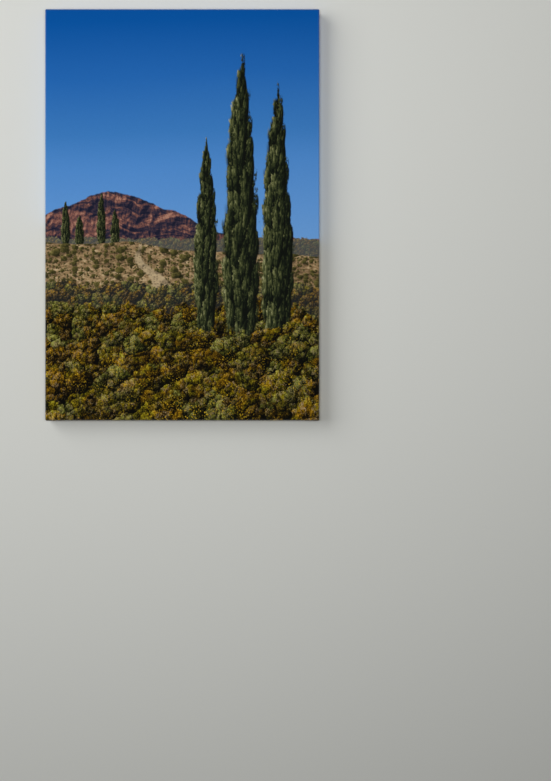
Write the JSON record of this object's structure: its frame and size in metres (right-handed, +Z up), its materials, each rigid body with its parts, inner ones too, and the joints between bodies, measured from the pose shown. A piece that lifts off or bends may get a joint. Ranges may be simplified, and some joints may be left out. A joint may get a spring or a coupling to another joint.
{
  "type": "canvas wall print",
  "caption": "Portrait canvas print: cloth printed with a landscape, stretched over a braced wooden frame with an open back, corner keys, a toothed hanger and bumpers.",
  "frame": {"origin": "middle of the flat back of the toothed hanger, on the wall plane, 17 mm below the print's top edge", "axes": "+Z up, +Y from the printed face towards the wall, +X to the right as seen from the front"},
  "size_m": [0.6096, 0.0414, 0.9144],
  "materials": {
    "canvas": "woven polycotton with a satin-coated print, bare off-white on the back",
    "pine": "planed softwood, unfinished",
    "beech": "sawn hardwood, unfinished",
    "steel": "zinc-plated, satin",
    "rubber": "matt"
  },
  "bodies": {
    "root": {"canvas": "canvas", "rail_top": "pine", "rail_bottom": "pine", "stile_left": "pine", "stile_right": "pine", "brace": "pine", "hanger": "steel", "nail_left": "steel", "nail_right": "steel", "bumper_left": "rubber", "bumper_right": "rubber", "rail_key_top_left": "beech", "stile_key_top_left": "beech", "rail_key_top_right": "beech", "stile_key_top_right": "beech", "rail_key_bottom_left": "beech", "stile_key_bottom_left": "beech", "rail_key_bottom_right": "beech", "stile_key_bottom_right": "beech"}
  },
  "joints": []
}
